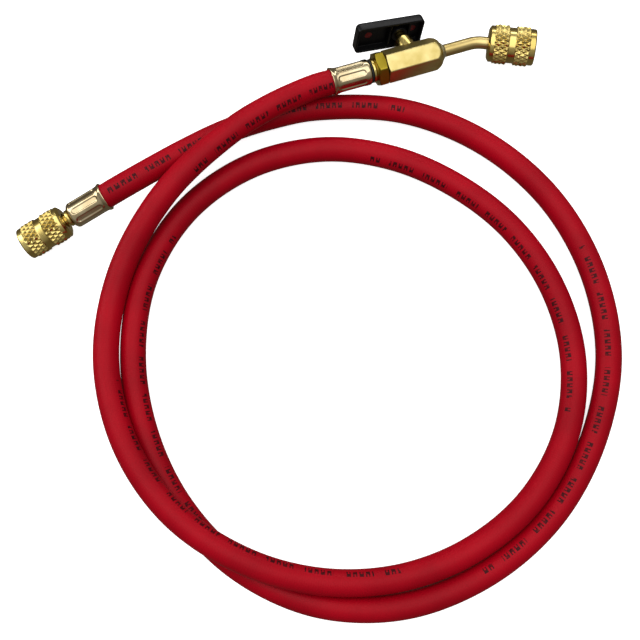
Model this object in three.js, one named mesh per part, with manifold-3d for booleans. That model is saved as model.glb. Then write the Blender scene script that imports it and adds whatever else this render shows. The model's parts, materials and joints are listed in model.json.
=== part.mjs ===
// Refrigerant charging hose. A red rubber hose lies in two loose turns. One end has a crimped
// ferrule and a knurled swivel nut. The other has a lever ball valve, a bent outlet tube and a
// larger swivel nut. Millimetres, +Z up, the table at Z = 0. The origin is on the table under
// the middle of the fittings, with +X along them.
import * as THREE from 'three';
import { mergeVertices } from 'three/addons/utils/BufferGeometryUtils.js';
import Module from 'manifold-3d';

const wasm = await Module();
wasm.setup();

const degrees = THREE.MathUtils.degToRad;

// Clearances
const GAP = 0.3;
const NUT_PLAY = 0.6;
const CUT_PAST = 1;

// Hose
const HOSE_OD = 12.5;
const HOSE_LEAD = 8;
const HOSE_SIDES = 12;
const HOSE_STEPS = 80;

// Crimped ferrules, the same at both ends
const FERRULE_LENGTH = 20.2;
const FERRULE_OD = 13.1;
const FERRULE_WALL = 1;
const FERRULE_FRONT_WALL = 2;
const COLLAR_OD = 13.7;
const COLLAR_LENGTH = 3.4;
const COLLAR_EDGE = 0.3;
const COLLAR_SLOPE = 0.8;
const SHOULDER_LENGTH = 3;
const SHOULDER_ROUND = 1.8;
const SHOULDER_DROP = 0.8;
const CRIMPS = 8;
const CRIMP_DEPTH = 0.35;

// Tails: a barb in the hose and a waterway through it
const TAIL_OD = 6.4;
const TAIL_BORE = 3;
const BARB_LENGTH = 12;

// Swivel nuts: each has its own lengths and diameters, and they share their walls and edges
const SERVICE_RIM_LENGTH = 2.8;
const SERVICE_KNURL_LENGTH = 7.2;
const SERVICE_GROOVE_LENGTH = 3.4;
const SERVICE_KNURL_OD = 17.4;
const SERVICE_RIM_OD = 16.4;
const SERVICE_THREAD_BORE = 10;
const OUTLET_RIM_LENGTH = 3;
const OUTLET_KNURL_LENGTH = 7.3;
const OUTLET_GROOVE_LENGTH = 3.4;
const OUTLET_KNURL_OD = 19.8;
const OUTLET_RIM_OD = 18.2;
const OUTLET_THREAD_BORE = 11.4;
const NUT_REAR_WALL = 6;
const NUT_CHAMFER = 0.5;
const KNURL_SLOPE = 0.3;
const NUT_REAR_CHAMFER = 1;
const NECK_TO_NUT = 3.2;
const FLANGE_LENGTH = 2;
const FLANGE_PLAY = 0.4;
const GASKET_LENGTH = 1.5;
const GASKET_BORE = 4.4;

// Valve tail: black ring, round neck, hexagon and a spigot in the valve body
const RING_LENGTH = 0.7;
const RING_OD = 12.4;
const NECK_LENGTH = 2;
const NECK_OD = 12;
const TAIL_HEX_LENGTH = 5;
const TAIL_HEX_FLATS = 16;
const TAIL_HEX_CHAMFER = 0.6;
const TAIL_HEX_TURN = degrees(-16);
const SPIGOT_OD = 8;
const SPIGOT_LENGTH = 5;

// Valve body, its ball and its stem
const BODY_LENGTH = 30.3;
const BODY_FLATS = 15;
const BODY_END_CHAMFER = 0.8;
const DOME_LENGTH = 4.8;
const DOME_SHOULDER = 1.8;
const DOME_FACE_OD = 10;
const HEX_FACE_MARGIN = 0.1;
const WATERWAY = 4;
const BALL_OD = 10;
const BALL_OFFSET = 15;
const GLAND_OD = 9.6;
const GLAND_SEAT = 1.5;
const GLAND_HEIGHT = 6;
const GLAND_CHAMFER = 0.5;
const STEM_OD = 5;
const TANG_LENGTH = 4;
const TANG_WIDTH = 1.4;
const TANG_DEPTH = 1.4;

// Lever
const LEVER_LENGTH = 37;
const LEVER_WIDTH = 16.3;
const LEVER_THICKNESS = 5.3;
const LEVER_CORNER = 2.4;
const LEVER_EDGE = 0.8;
const LEVER_WALL = 1.2;
const LEVER_TOP_WALL = 1.8;
const LEVER_RIB = 1.2;
const LEVER_RIB_SPACING = 10.6;
const LEVER_RIB_IN_TOP = 0.9;
const LEVER_HUB_OD = 8.4;
const LEVER_HUB_INSET = 0.5;
const LEVER_STANDOFF = 10;
const LEVER_OFFSET = -5.5;
const LEVER_TURN = degrees(8);
const STEM_IN_HUB = 3;

// Outlet tube
const TUBE_OD = 6.35;
const TUBE_BORE = 4.4;
const TUBE_SOCKET = 6;
const TUBE_RUN = 19.8;
const TUBE_BEND = degrees(27);
const TUBE_BEND_RADIUS = 14;
const BEND_TO_NUT = 6.1;
const TUBE_STEPS = 18;
const TUBE_SIDES = 16;
const BRAZE_OD = 9.6;
const BRAZE_LENGTH = 1.4;
const BRAZE_WALL = 0.4;
const BRAZE_SLOPE = 0.6;

// Where the fittings lie: the hose's exits on the table plan, and how the fittings point
const SERVICE_EXIT = [-124.9, 77.6];
const SERVICE_YAW = degrees(208.7);
const SERVICE_PITCH = degrees(10.5);
const VALVE_EXIT = [-13.8, 137.7];
const VALVE_YAW = degrees(18.6);
const VALVE_PITCH = degrees(4);
const VALVE_ROLL = degrees(-14);

// The hose's route from the middle of the loop: plan x and y, and how far it is lifted off the
// table where it climbs over itself
const HOSE_ROUTE = [
  [-86, 102.5, 8.25],
  [-65, 115.5, 3.5],
  [-43.5, 124, 1],
  [-21, 129, 0.15],
  [23, 127.5, 0],
  [63.5, 110.5, 0],
  [95.5, 81, 0],
  [115, 42.5, 0],
  [120.5, 0, 0],
  [110.5, -41, 0],
  [89, -76.5, 0],
  [57.5, -102.5, 0],
  [19, -117, 0],
  [-21, -116, 0],
  [-57.5, -99.5, 0],
  [-85, -72, 0],
  [-102.5, -38, 0],
  [-110, 0, 0],
  [-105.5, 39, 0],
  [-86, 74, 0],
  [-54.5, 97.5, 0],
  [-17.5, 106.5, 0],
  [18.5, 101.5, 0],
  [50, 86.5, 0],
  [76, 64.5, 0],
  [94.5, 35, 0.1],
  [103, 0, 0.15],
  [98, -36.5, 1.75],
  [79, -69, 4.25],
  [50.5, -92, 4.75],
  [17, -104.5, 4.75],
  [-19.5, -106, 7.75],
  [-54.5, -96.5, 12.75],
  [-87, -75.5, 12.75],
  [-111, -42.5, 8.75],
  [-122, -1, 5.25],
  [-116, 41.5, 6.75],
  [-94.5, 78.5, 14.5],
  [-63.5, 109, 16.75],
  [-44.5, 122.5, 15.75],
];

const FACETS = 24;

const rubber = new THREE.MeshStandardMaterial({ color: 0xa00a1c, roughness: 0.5 });
const blackRubber = new THREE.MeshStandardMaterial({ color: 0x141414, roughness: 0.8 });
const brass = new THREE.MeshStandardMaterial({ color: 0xc8a850, roughness: 0.3, metalness: 1 });
const plated = new THREE.MeshStandardMaterial({ color: 0xcfc0a0, roughness: 0.25, metalness: 1 });
const braze = new THREE.MeshStandardMaterial({ color: 0xcfc8ae, roughness: 0.4, metalness: 1 });
const chrome = new THREE.MeshStandardMaterial({ color: 0xd0d0d0, roughness: 0.1, metalness: 1 });
const plastic = new THREE.MeshStandardMaterial({ color: 0x0c0c0e, roughness: 0.35 });

// A mesh's corners are shared, and triangles squeezed to nothing on an axis are dropped
function closed(geometry) {
  const bare = geometry.clone();
  bare.deleteAttribute('normal');
  bare.deleteAttribute('uv');
  const merged = mergeVertices(bare, 1e-4);
  const corners = Array.from(merged.index.array);
  const kept = [];
  for (let i = 0; i < corners.length; i += 3) {
    const [a, b, c] = corners.slice(i, i + 3);
    if (a !== b && b !== c && c !== a) {
      kept.push(a, b, c);
    }
  }
  merged.setIndex(kept);
  return merged;
}

function solid(geometry) {
  const mesh = closed(geometry);
  return new wasm.Manifold(new wasm.Mesh({
    numProp: 3,
    vertProperties: mesh.attributes.position.array,
    triVerts: Uint32Array.from(mesh.index.array),
  }));
}

function surface(manifold) {
  const mesh = manifold.getMesh();
  const geometry = new THREE.BufferGeometry();
  geometry.setAttribute('position', new THREE.BufferAttribute(mesh.vertProperties, 3));
  geometry.setIndex(new THREE.BufferAttribute(mesh.triVerts, 1));
  return geometry;
}

// A shape turned about the X axis, from its outline of [along, radius] corners
function turned(outline) {
  const points = outline.map(([along, radius]) => new THREE.Vector2(radius, along));
  if (THREE.ShapeUtils.area(points) < 0) {
    points.reverse();
  }
  points.push(points[0].clone());
  return new THREE.LatheGeometry(points, FACETS).rotateZ(-Math.PI / 2);
}

function rod(radius, start, end) {
  return turned([[start, 0], [start, radius], [end, radius], [end, 0]]);
}

// A hexagonal bar along X with its corners chamfered at both ends. One flat faces +Y, turned
// by turn about X.
function hexBar(flats, start, end, chamfer, turn) {
  const corner = flats / Math.sqrt(3);
  const shape = new THREE.Shape();
  for (let i = 0; i < 6; i += 1) {
    const angle = turn + degrees(30 + 60 * i);
    const point = [-corner * Math.sin(angle), corner * Math.cos(angle)];
    if (i === 0) {
      shape.moveTo(...point);
    } else {
      shape.lineTo(...point);
    }
  }
  const bar = new THREE.ExtrudeGeometry(shape, { depth: end - start, bevelEnabled: false })
    .rotateY(Math.PI / 2)
    .translate(start, 0, 0);
  const face = flats / 2 - HEX_FACE_MARGIN;
  const blank = turned([
    [start, 0],
    [start, face],
    [start + chamfer, corner],
    [end - chamfer, corner],
    [end, face],
    [end, 0],
  ]);
  return solid(bar).intersect(solid(blank));
}

// A round bar carried along a path
function sweep(radius, sides, path, steps) {
  const shape = new THREE.Shape();
  for (let i = 0; i < sides; i += 1) {
    const angle = (i * 2 * Math.PI) / sides;
    const point = [radius * Math.cos(angle), radius * Math.sin(angle)];
    if (i === 0) {
      shape.moveTo(...point);
    } else {
      shape.lineTo(...point);
    }
  }
  return new THREE.ExtrudeGeometry(shape, { steps, extrudePath: path, bevelEnabled: false });
}

// Sizes that follow from those above
const ferruleBore = FERRULE_OD / 2 - CRIMP_DEPTH - FERRULE_WALL;
const neckRadius = ferruleBore - GAP;
const neckEnd = FERRULE_LENGTH - FERRULE_FRONT_WALL - GAP;
const barbStart = neckEnd - BARB_LENGTH;

// Ferrule: a cup over the hose's end with eight flats pressed into it. X runs from the end
// that the hose enters to the end that faces the fitting.
function ferrule() {
  const collar = COLLAR_OD / 2;
  const body = FERRULE_OD / 2;
  const hole = TAIL_OD / 2 + GAP;
  const crimpEnd = FERRULE_LENGTH - SHOULDER_LENGTH;
  const cup = turned([
    [0, ferruleBore],
    [0, collar - COLLAR_EDGE],
    [COLLAR_EDGE, collar],
    [COLLAR_LENGTH - COLLAR_SLOPE, collar],
    [COLLAR_LENGTH, body],
    [FERRULE_LENGTH - SHOULDER_ROUND, body],
    [FERRULE_LENGTH - SHOULDER_ROUND / 2, body - SHOULDER_DROP * 0.4],
    [FERRULE_LENGTH - SHOULDER_ROUND / 6, body - SHOULDER_DROP],
    [FERRULE_LENGTH, body - 2 * SHOULDER_DROP],
    [FERRULE_LENGTH, hole],
    [FERRULE_LENGTH - FERRULE_FRONT_WALL, hole],
    [FERRULE_LENGTH - FERRULE_FRONT_WALL, ferruleBore],
  ]);
  let shell = solid(cup);
  const length = crimpEnd - COLLAR_LENGTH;
  const height = 2;
  for (let i = 0; i < CRIMPS; i += 1) {
    const die = new THREE.BoxGeometry(length, height, FERRULE_OD)
      .translate(COLLAR_LENGTH + length / 2, body - CRIMP_DEPTH + height / 2, 0)
      .rotateX((i * 2 * Math.PI) / CRIMPS);
    shell = shell.subtract(solid(die));
  }
  return surface(shell);
}

// Swivel nut: two knurled bands with a groove between them and a plain rim at each end. X runs
// from its rear wall to its mouth.
function swivelNut({ rimLength, knurlLength, grooveLength, knurlOd, rimOd, threadBore, hole }) {
  const knurl = knurlOd / 2;
  const rim = rimOd / 2;
  const bore = threadBore / 2;
  const firstBand = rimLength;
  const groove = firstBand + knurlLength;
  const secondBand = groove + grooveLength;
  const lastRim = secondBand + knurlLength;
  const nutLength = lastRim + rimLength;
  return turned([
    [0, hole],
    [0, rim - NUT_REAR_CHAMFER],
    [NUT_REAR_CHAMFER, rim],
    [firstBand, rim],
    [firstBand + KNURL_SLOPE, knurl],
    [groove - KNURL_SLOPE, knurl],
    [groove, rim],
    [secondBand, rim],
    [secondBand + KNURL_SLOPE, knurl],
    [lastRim - KNURL_SLOPE, knurl],
    [lastRim, rim],
    [nutLength - NUT_CHAMFER, rim],
    [nutLength, rim - NUT_CHAMFER],
    [nutLength, bore + NUT_CHAMFER],
    [nutLength - NUT_CHAMFER, bore],
    [NUT_REAR_WALL, bore],
    [NUT_REAR_WALL, hole],
  ]);
}

// The flange that the nut draws against its rear wall, and the gasket on the flange
const flangeStart = NUT_REAR_WALL + GAP;
const flangeEnd = flangeStart + FLANGE_LENGTH;
const gasketStart = flangeEnd + GAP;

function gasket(threadBore) {
  const outer = threadBore / 2 - FLANGE_PLAY;
  const end = gasketStart + GASKET_LENGTH;
  return turned([
    [gasketStart, GASKET_BORE / 2],
    [gasketStart, outer],
    [end, outer],
    [end, GASKET_BORE / 2],
  ]);
}

function piece(name, geometry, material) {
  const mesh = new THREE.Mesh(closed(geometry), material);
  mesh.name = name;
  return mesh;
}

// Service end: the nut's rear wall is NECK_TO_NUT past the ferrule
const serviceNutStart = FERRULE_LENGTH + NECK_TO_NUT;
const serviceEnd = new THREE.Group();
serviceEnd.rotation.set(0, SERVICE_PITCH, SERVICE_YAW, 'ZYX');
serviceEnd.position.set(...SERVICE_EXIT, 0);
const serviceNut = new THREE.Group();
serviceNut.position.x = serviceNutStart;
const serviceNutShape = swivelNut({
  rimLength: SERVICE_RIM_LENGTH,
  knurlLength: SERVICE_KNURL_LENGTH,
  grooveLength: SERVICE_GROOVE_LENGTH,
  knurlOd: SERVICE_KNURL_OD,
  rimOd: SERVICE_RIM_OD,
  threadBore: SERVICE_THREAD_BORE,
  hole: TAIL_OD / 2 + NUT_PLAY,
});
serviceNut.add(
  piece('service_nut', serviceNutShape, brass),
  piece('service_gasket', gasket(SERVICE_THREAD_BORE), blackRubber),
);
const serviceFlange = SERVICE_THREAD_BORE / 2 - FLANGE_PLAY;
const serviceTail = turned([
  [barbStart, TAIL_BORE / 2],
  [barbStart, TAIL_OD / 2],
  [serviceNutStart + flangeStart, TAIL_OD / 2],
  [serviceNutStart + flangeStart, serviceFlange],
  [serviceNutStart + flangeEnd, serviceFlange],
  [serviceNutStart + flangeEnd, TAIL_BORE / 2],
]);
serviceEnd.add(
  piece('service_ferrule', ferrule(), plated),
  piece('service_tail', serviceTail, brass),
  serviceNut,
);

// Valve tail: it passes the ferrule and the black ring, then widens to its neck and hexagon
const ringStart = FERRULE_LENGTH + GAP;
const neckStart = ringStart + RING_LENGTH + GAP;
const hexStart = neckStart + NECK_LENGTH;
const hexEnd = hexStart + TAIL_HEX_LENGTH;
const bodyStart = hexEnd + GAP;
const bodyEnd = bodyStart + BODY_LENGTH;
const ballCentre = bodyStart + BALL_OFFSET;
const tailRing = turned([
  [ringStart, TAIL_OD / 2 + GAP],
  [ringStart, RING_OD / 2],
  [ringStart + RING_LENGTH, RING_OD / 2],
  [ringStart + RING_LENGTH, TAIL_OD / 2 + GAP],
]);
const valveTail = solid(turned([
  [barbStart, 0],
  [barbStart, TAIL_OD / 2],
  [neckStart, TAIL_OD / 2],
  [neckStart, NECK_OD / 2],
  [hexStart + TAIL_HEX_LENGTH / 2, NECK_OD / 2],
  [hexStart + TAIL_HEX_LENGTH / 2, SPIGOT_OD / 2],
  [hexEnd + SPIGOT_LENGTH, SPIGOT_OD / 2],
  [hexEnd + SPIGOT_LENGTH, 0],
]))
  .add(hexBar(TAIL_HEX_FLATS, hexStart, hexEnd, TAIL_HEX_CHAMFER, TAIL_HEX_TURN))
  .subtract(solid(
    rod(TAIL_BORE / 2, barbStart - CUT_PAST, hexEnd + SPIGOT_LENGTH + CUT_PAST),
  ));

// Valve body: hexagonal bar with a dome at its outlet end, a waterway, a ball chamber, a socket
// at each end and a seat for the gland on one flat
const upright = new THREE.Matrix4().makeRotationZ(Math.PI / 2);
const bodyHalf = BODY_FLATS / 2;
const glandSeat = bodyHalf - GLAND_SEAT;
const stemRadius = STEM_OD / 2;
const chamber = new THREE.SphereGeometry(BALL_OD / 2 + GAP, FACETS, FACETS / 2);
const glandHole = rod(GLAND_OD / 2 + GAP, glandSeat, bodyHalf + CUT_PAST).applyMatrix4(upright);
const stemHole = rod(stemRadius + GAP, 0, bodyHalf).applyMatrix4(upright);
const bodyCorner = BODY_FLATS / Math.sqrt(3);
const dome = turned([
  [bodyStart - CUT_PAST, 0],
  [bodyStart - CUT_PAST, bodyCorner + CUT_PAST],
  [bodyEnd - DOME_LENGTH, bodyCorner + CUT_PAST],
  [bodyEnd - DOME_LENGTH, bodyCorner],
  [bodyEnd - DOME_SHOULDER, bodyHalf],
  [bodyEnd, DOME_FACE_OD / 2],
  [bodyEnd, 0],
]);
const valveBody = hexBar(BODY_FLATS, bodyStart, bodyEnd, BODY_END_CHAMFER, 0)
  .intersect(solid(dome))
  .subtract(solid(rod(WATERWAY / 2, bodyStart - CUT_PAST, bodyEnd + CUT_PAST)))
  .subtract(solid(rod(SPIGOT_OD / 2 + GAP, bodyStart - CUT_PAST, hexEnd + SPIGOT_LENGTH + GAP)))
  .subtract(solid(rod(TUBE_OD / 2 + GAP, bodyEnd - TUBE_SOCKET, bodyEnd + CUT_PAST)))
  .subtract(solid(chamber.translate(ballCentre, 0, 0)))
  .subtract(solid(stemHole.translate(ballCentre, 0, 0)))
  .subtract(solid(glandHole.translate(ballCentre, 0, 0)));

// Stem, ball and lever, with Z along the stem. The gland stays with the body, the rest turns.
const stemAxis = new THREE.Group();
stemAxis.position.x = ballCentre;
stemAxis.rotation.x = -Math.PI / 2;
const lever = new THREE.Group();
lever.rotation.z = LEVER_TURN;
stemAxis.add(lever);

const toZ = new THREE.Matrix4().makeRotationY(-Math.PI / 2);
const leverBase = bodyHalf + LEVER_STANDOFF;
const ballTop = BALL_OD / 2;
const glandStart = glandSeat + GAP;
const gland = turned([
  [glandStart, stemRadius + GAP],
  [glandStart, GLAND_OD / 2],
  [bodyHalf + GLAND_HEIGHT - GLAND_CHAMFER, GLAND_OD / 2],
  [bodyHalf + GLAND_HEIGHT, GLAND_OD / 2 - GLAND_CHAMFER],
  [bodyHalf + GLAND_HEIGHT, stemRadius + GAP],
]).applyMatrix4(toZ);
stemAxis.add(piece('stem_gland', gland, brass));

const slot = new THREE.BoxGeometry(BALL_OD, TANG_WIDTH + 2 * GAP, 2 * (TANG_DEPTH + GAP))
  .translate(0, 0, ballTop);
const ball = solid(new THREE.SphereGeometry(BALL_OD / 2, FACETS, FACETS / 2))
  .subtract(solid(rod(WATERWAY / 2, -BALL_OD, BALL_OD)))
  .subtract(solid(slot));
const tang = new THREE.BoxGeometry(TANG_LENGTH, TANG_WIDTH, 2 * TANG_DEPTH)
  .translate(0, 0, ballTop);
const stem = solid(rod(stemRadius, ballTop + GAP, leverBase + STEM_IN_HUB).applyMatrix4(toZ))
  .add(solid(tang));

// Lever: a rounded block hollowed from below, with a hub for the stem and a rib either side of it
function roundedPlate(length, width, corner, depth) {
  const shape = new THREE.Shape();
  const x = length / 2;
  const y = width / 2;
  const quarter = Math.PI / 2;
  shape.moveTo(x, y - corner);
  shape.absarc(x - corner, y - corner, corner, 0, quarter);
  shape.absarc(corner - x, y - corner, corner, quarter, 2 * quarter);
  shape.absarc(corner - x, corner - y, corner, 2 * quarter, 3 * quarter);
  shape.absarc(x - corner, corner - y, corner, 3 * quarter, 4 * quarter);
  return new THREE.ExtrudeGeometry(shape, {
    depth: depth - 2 * LEVER_EDGE,
    curveSegments: 4,
    bevelThickness: LEVER_EDGE,
    bevelSize: LEVER_EDGE,
    bevelOffset: -LEVER_EDGE,
    bevelSegments: 2,
  }).translate(0, 0, LEVER_EDGE);
}

const leverTop = leverBase + LEVER_THICKNESS;
const pocketLength = LEVER_LENGTH - 2 * LEVER_WALL;
const pocketWidth = LEVER_WIDTH - 2 * LEVER_WALL;
const pocketDepth = LEVER_THICKNESS - LEVER_TOP_WALL;
const pocket = new THREE.BoxGeometry(pocketLength, pocketWidth, 2 * pocketDepth)
  .translate(LEVER_OFFSET, 0, leverBase);
const block = roundedPlate(LEVER_LENGTH, LEVER_WIDTH, LEVER_CORNER, LEVER_THICKNESS)
  .translate(LEVER_OFFSET, 0, leverBase);
const hubStart = leverBase + LEVER_HUB_INSET;
const hub = rod(LEVER_HUB_OD / 2, hubStart, leverTop - LEVER_TOP_WALL / 2).applyMatrix4(toZ);
const hubBore = rod(stemRadius + GAP, leverBase - CUT_PAST, leverBase + STEM_IN_HUB + GAP)
  .applyMatrix4(toZ);
let leverBody = solid(block).subtract(solid(pocket)).add(solid(hub));
const ribCentre = leverTop - LEVER_RIB_IN_TOP - pocketDepth / 2;
for (const side of [-1, 1]) {
  const rib = new THREE.BoxGeometry(LEVER_RIB, pocketWidth + LEVER_WALL, pocketDepth)
    .translate((side * LEVER_RIB_SPACING) / 2, 0, ribCentre);
  leverBody = leverBody.add(solid(rib));
}
leverBody = leverBody.subtract(solid(hubBore));
lever.add(
  piece('valve_ball', surface(ball), chrome),
  piece('valve_stem', surface(stem), brass),
  piece('valve_handle', surface(leverBody), plastic),
);

// Outlet tube: straight out of the body, then a bend away from the lever, then into the nut.
// The outlet group's X runs along the tube from the corner of the bend.
const corner = new THREE.Vector3(bodyEnd + TUBE_RUN, 0, 0);
const outlet = new THREE.Group();
outlet.position.copy(corner);
outlet.rotation.z = -TUBE_BEND;
outlet.updateMatrix();

function tubePath(past) {
  const tangent = TUBE_BEND_RADIUS * Math.tan(TUBE_BEND / 2);
  const start = new THREE.Vector3(bodyEnd - TUBE_SOCKET + GAP - past, 0, 0);
  const bendStart = new THREE.Vector3(corner.x - tangent, 0, 0);
  const bendEnd = new THREE.Vector3(tangent, 0, 0).applyMatrix4(outlet.matrix);
  const end = new THREE.Vector3(BEND_TO_NUT + flangeEnd - FLANGE_LENGTH / 4 + past, 0, 0)
    .applyMatrix4(outlet.matrix);
  const path = new THREE.CurvePath();
  path.add(new THREE.LineCurve3(start, bendStart));
  path.add(new THREE.QuadraticBezierCurve3(bendStart, corner, bendEnd));
  path.add(new THREE.LineCurve3(bendEnd, end));
  return path;
}

const outletFlange = rod(
  OUTLET_THREAD_BORE / 2 - FLANGE_PLAY,
  BEND_TO_NUT + flangeStart,
  BEND_TO_NUT + flangeEnd,
).applyMatrix4(outlet.matrix);
const outletTube = solid(sweep(TUBE_OD / 2, TUBE_SIDES, tubePath(0), TUBE_STEPS))
  .add(solid(outletFlange))
  .subtract(solid(sweep(TUBE_BORE / 2, TUBE_SIDES, tubePath(2 * CUT_PAST), TUBE_STEPS)));
const brazeRing = turned([
  [bodyEnd + GAP, TUBE_OD / 2 + GAP],
  [bodyEnd + GAP, BRAZE_OD / 2],
  [bodyEnd + GAP + BRAZE_LENGTH / 2, BRAZE_OD / 2 - BRAZE_SLOPE],
  [bodyEnd + GAP + BRAZE_LENGTH, TUBE_OD / 2 + GAP + BRAZE_WALL],
  [bodyEnd + GAP + BRAZE_LENGTH, TUBE_OD / 2 + GAP],
]);

const outletNut = new THREE.Group();
outletNut.position.x = BEND_TO_NUT;
const outletNutShape = swivelNut({
  rimLength: OUTLET_RIM_LENGTH,
  knurlLength: OUTLET_KNURL_LENGTH,
  grooveLength: OUTLET_GROOVE_LENGTH,
  knurlOd: OUTLET_KNURL_OD,
  rimOd: OUTLET_RIM_OD,
  threadBore: OUTLET_THREAD_BORE,
  hole: TUBE_OD / 2 + NUT_PLAY,
});
outletNut.add(
  piece('outlet_nut', outletNutShape, brass),
  piece('outlet_gasket', gasket(OUTLET_THREAD_BORE), blackRubber),
);
outlet.add(outletNut);

const valveEnd = new THREE.Group();
valveEnd.rotation.set(VALVE_ROLL, VALVE_PITCH, VALVE_YAW, 'ZYX');
valveEnd.position.set(...VALVE_EXIT, 0);
valveEnd.add(
  piece('valve_ferrule', ferrule(), plated),
  piece('tail_ring', tailRing, blackRubber),
  piece('valve_tail', surface(valveTail), brass),
  piece('valve_body', surface(valveBody), brass),
  stemAxis,
  piece('braze_ring', brazeRing, braze),
  piece('outlet_tube', surface(outletTube), brass),
  outlet,
);

// Each fitting is raised until its lowest point is on the table
for (const fitting of [serviceEnd, valveEnd]) {
  fitting.updateMatrixWorld(true);
  const box = new THREE.Box3().setFromObject(fitting, true);
  fitting.position.z -= box.min.z;
  fitting.updateMatrixWorld(true);
}

// Hose: straight out of each ferrule, along its route, and necked down where each ferrule
// grips it on the barb
const radius = HOSE_OD / 2;
const route = HOSE_ROUTE.map(([x, y, lift]) => new THREE.Vector3(x, y, radius + lift));
route.unshift(
  serviceEnd.localToWorld(new THREE.Vector3(-GAP, 0, 0)),
  serviceEnd.localToWorld(new THREE.Vector3(-GAP - HOSE_LEAD, 0, 0)),
);
route.push(
  valveEnd.localToWorld(new THREE.Vector3(-GAP - HOSE_LEAD, 0, 0)),
  valveEnd.localToWorld(new THREE.Vector3(-GAP, 0, 0)),
);
let hose = solid(sweep(radius, HOSE_SIDES, new THREE.CatmullRomCurve3(route), HOSE_STEPS));
for (const fitting of [serviceEnd, valveEnd]) {
  const neck = rod(neckRadius, -HOSE_LEAD / 2, neckEnd).applyMatrix4(fitting.matrixWorld);
  hose = hose.add(solid(neck));
}
for (const fitting of [serviceEnd, valveEnd]) {
  const barbHole = rod(TAIL_OD / 2 + GAP, barbStart - GAP, neckEnd + CUT_PAST)
    .applyMatrix4(fitting.matrixWorld);
  hose = hose.subtract(solid(barbHole));
}

// The origin goes under the middle of the fittings
const fittings = new THREE.Group();
fittings.add(serviceEnd, valveEnd);
const middle = new THREE.Box3().setFromObject(fittings, true).getCenter(new THREE.Vector3());
const table = new THREE.Group();
table.position.set(-middle.x, -middle.y, 0);
table.add(fittings, piece('hose', surface(hose), rubber));

const part = new THREE.Group();
part.add(table);

export default part;
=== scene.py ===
# %% [markdown]
# A refrigerant charging hose
#
# The object is a red rubber hose that lies in two loose turns. One end has a crimped ferrule and
# a knurled swivel nut. The other has a small ball valve with a black lever, a bent brass tube and
# a larger swivel nut. The solid parts arrive as a fixed frame in metres, +Z up. This lesson gives
# all but the hidden ball a finer surface, gives each its finish, and moves none of them.

# %% The frame
import json

import bmesh
import bpy
import numpy as np
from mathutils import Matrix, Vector


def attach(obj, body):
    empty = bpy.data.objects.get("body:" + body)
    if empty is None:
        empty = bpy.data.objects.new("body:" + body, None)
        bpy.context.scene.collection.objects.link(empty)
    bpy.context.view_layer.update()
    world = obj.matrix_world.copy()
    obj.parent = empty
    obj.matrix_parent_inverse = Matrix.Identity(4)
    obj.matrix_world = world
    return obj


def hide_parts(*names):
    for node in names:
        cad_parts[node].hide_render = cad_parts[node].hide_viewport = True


MM = 0.001
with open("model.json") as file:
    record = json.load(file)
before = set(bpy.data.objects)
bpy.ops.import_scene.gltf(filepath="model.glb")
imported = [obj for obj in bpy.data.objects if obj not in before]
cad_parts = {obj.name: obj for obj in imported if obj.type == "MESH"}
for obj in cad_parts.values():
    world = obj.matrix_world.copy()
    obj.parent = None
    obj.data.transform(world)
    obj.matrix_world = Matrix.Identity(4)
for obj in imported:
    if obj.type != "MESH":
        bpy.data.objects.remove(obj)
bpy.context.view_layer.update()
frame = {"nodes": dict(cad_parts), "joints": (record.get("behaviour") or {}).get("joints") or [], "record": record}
joints = {joint["name"]: joint for joint in frame["joints"]}
mounts = {mount["name"]: mount for mount in frame["record"]["mounts"]}

# %% [markdown]
# Where the fittings lie
#
# Both fittings lie aslant on the table, so each gets three axes of its own: X along the fitting,
# away from the hose, and Y and Z across it. They could be typed in as angles. They are read from
# the joints and mounts instead, so they can't drift from the solids: a joint's axis is X, and the
# point on the nut's ring shows which way Z is.

# %% Axes of the two fittings
FERRULE_LENGTH = 20.2
SERVICE_NUT_LENGTH = 23.4
OUTLET_NUT_LENGTH = 24
NECK_TO_NUT = 3.2
SERVICE_MOUTH = FERRULE_LENGTH + NECK_TO_NUT + SERVICE_NUT_LENGTH
BALL_CENTRE = 43.8
BEND_TO_NUT = 6.1


def unit(vector):
    """The vector divided by its length."""
    return np.array(vector) / np.linalg.norm(vector)


def joint_place(name):
    """The point and the direction of a joint's axis."""
    return np.array(joints[name]["pos_m"]), unit(joints[name]["axis"])


class Axes:
    """An origin in metres and the unit vectors X, Y and Z as the rows of a matrix."""

    def __init__(self, origin, along, up):
        across = unit(np.cross(up, along))
        self.origin = np.array(origin)
        self.rows = np.array([along, across, np.cross(along, across)])

    def place(self, points):
        """Local millimetres to metres in the frame: origin + x·X + y·Y + z·Z."""
        return self.origin + (np.asarray(points) * MM) @ self.rows

    def moved(self, x):
        """The same axes with the origin x millimetres further along X."""
        return Axes(self.place([x, 0, 0]), self.rows[0], self.rows[2])


mouth, outward = joint_place("service_nut_spin")
ring_point = np.array(mounts["service_nut_mouth"]["pos_m"])
service = Axes(mouth, outward, unit(ring_point - mouth)).moved(-SERVICE_MOUTH)

outlet_mouth, outlet_outward = joint_place("outlet_nut_spin")
ball_centre, stem_up = joint_place("handle_turn")
valve_along = unit(outlet_outward - (outlet_outward @ stem_up) * stem_up)
valve_up = np.cross(valve_along, stem_up)
valve = Axes(ball_centre, valve_along, valve_up).moved(-BALL_CENTRE)
outlet = Axes(outlet_mouth, outlet_outward, valve_up).moved(-BEND_TO_NUT - OUTLET_NUT_LENGTH)
print("service exit", service.origin.round(4), "valve exit", valve.origin.round(4))

# %% [markdown]
# The camera
#
# The photograph looks almost straight down from half a metre, so the far end of the object shows
# more of its side than the near end. A camera's lens in millimetres comes from the picture: with
# a 36 mm sensor across 640 pixels, 1000 pixels of focal length are 56 mm. The camera stands
# over a point of the table and leans back by the tilt, which puts it south of that point.

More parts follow.
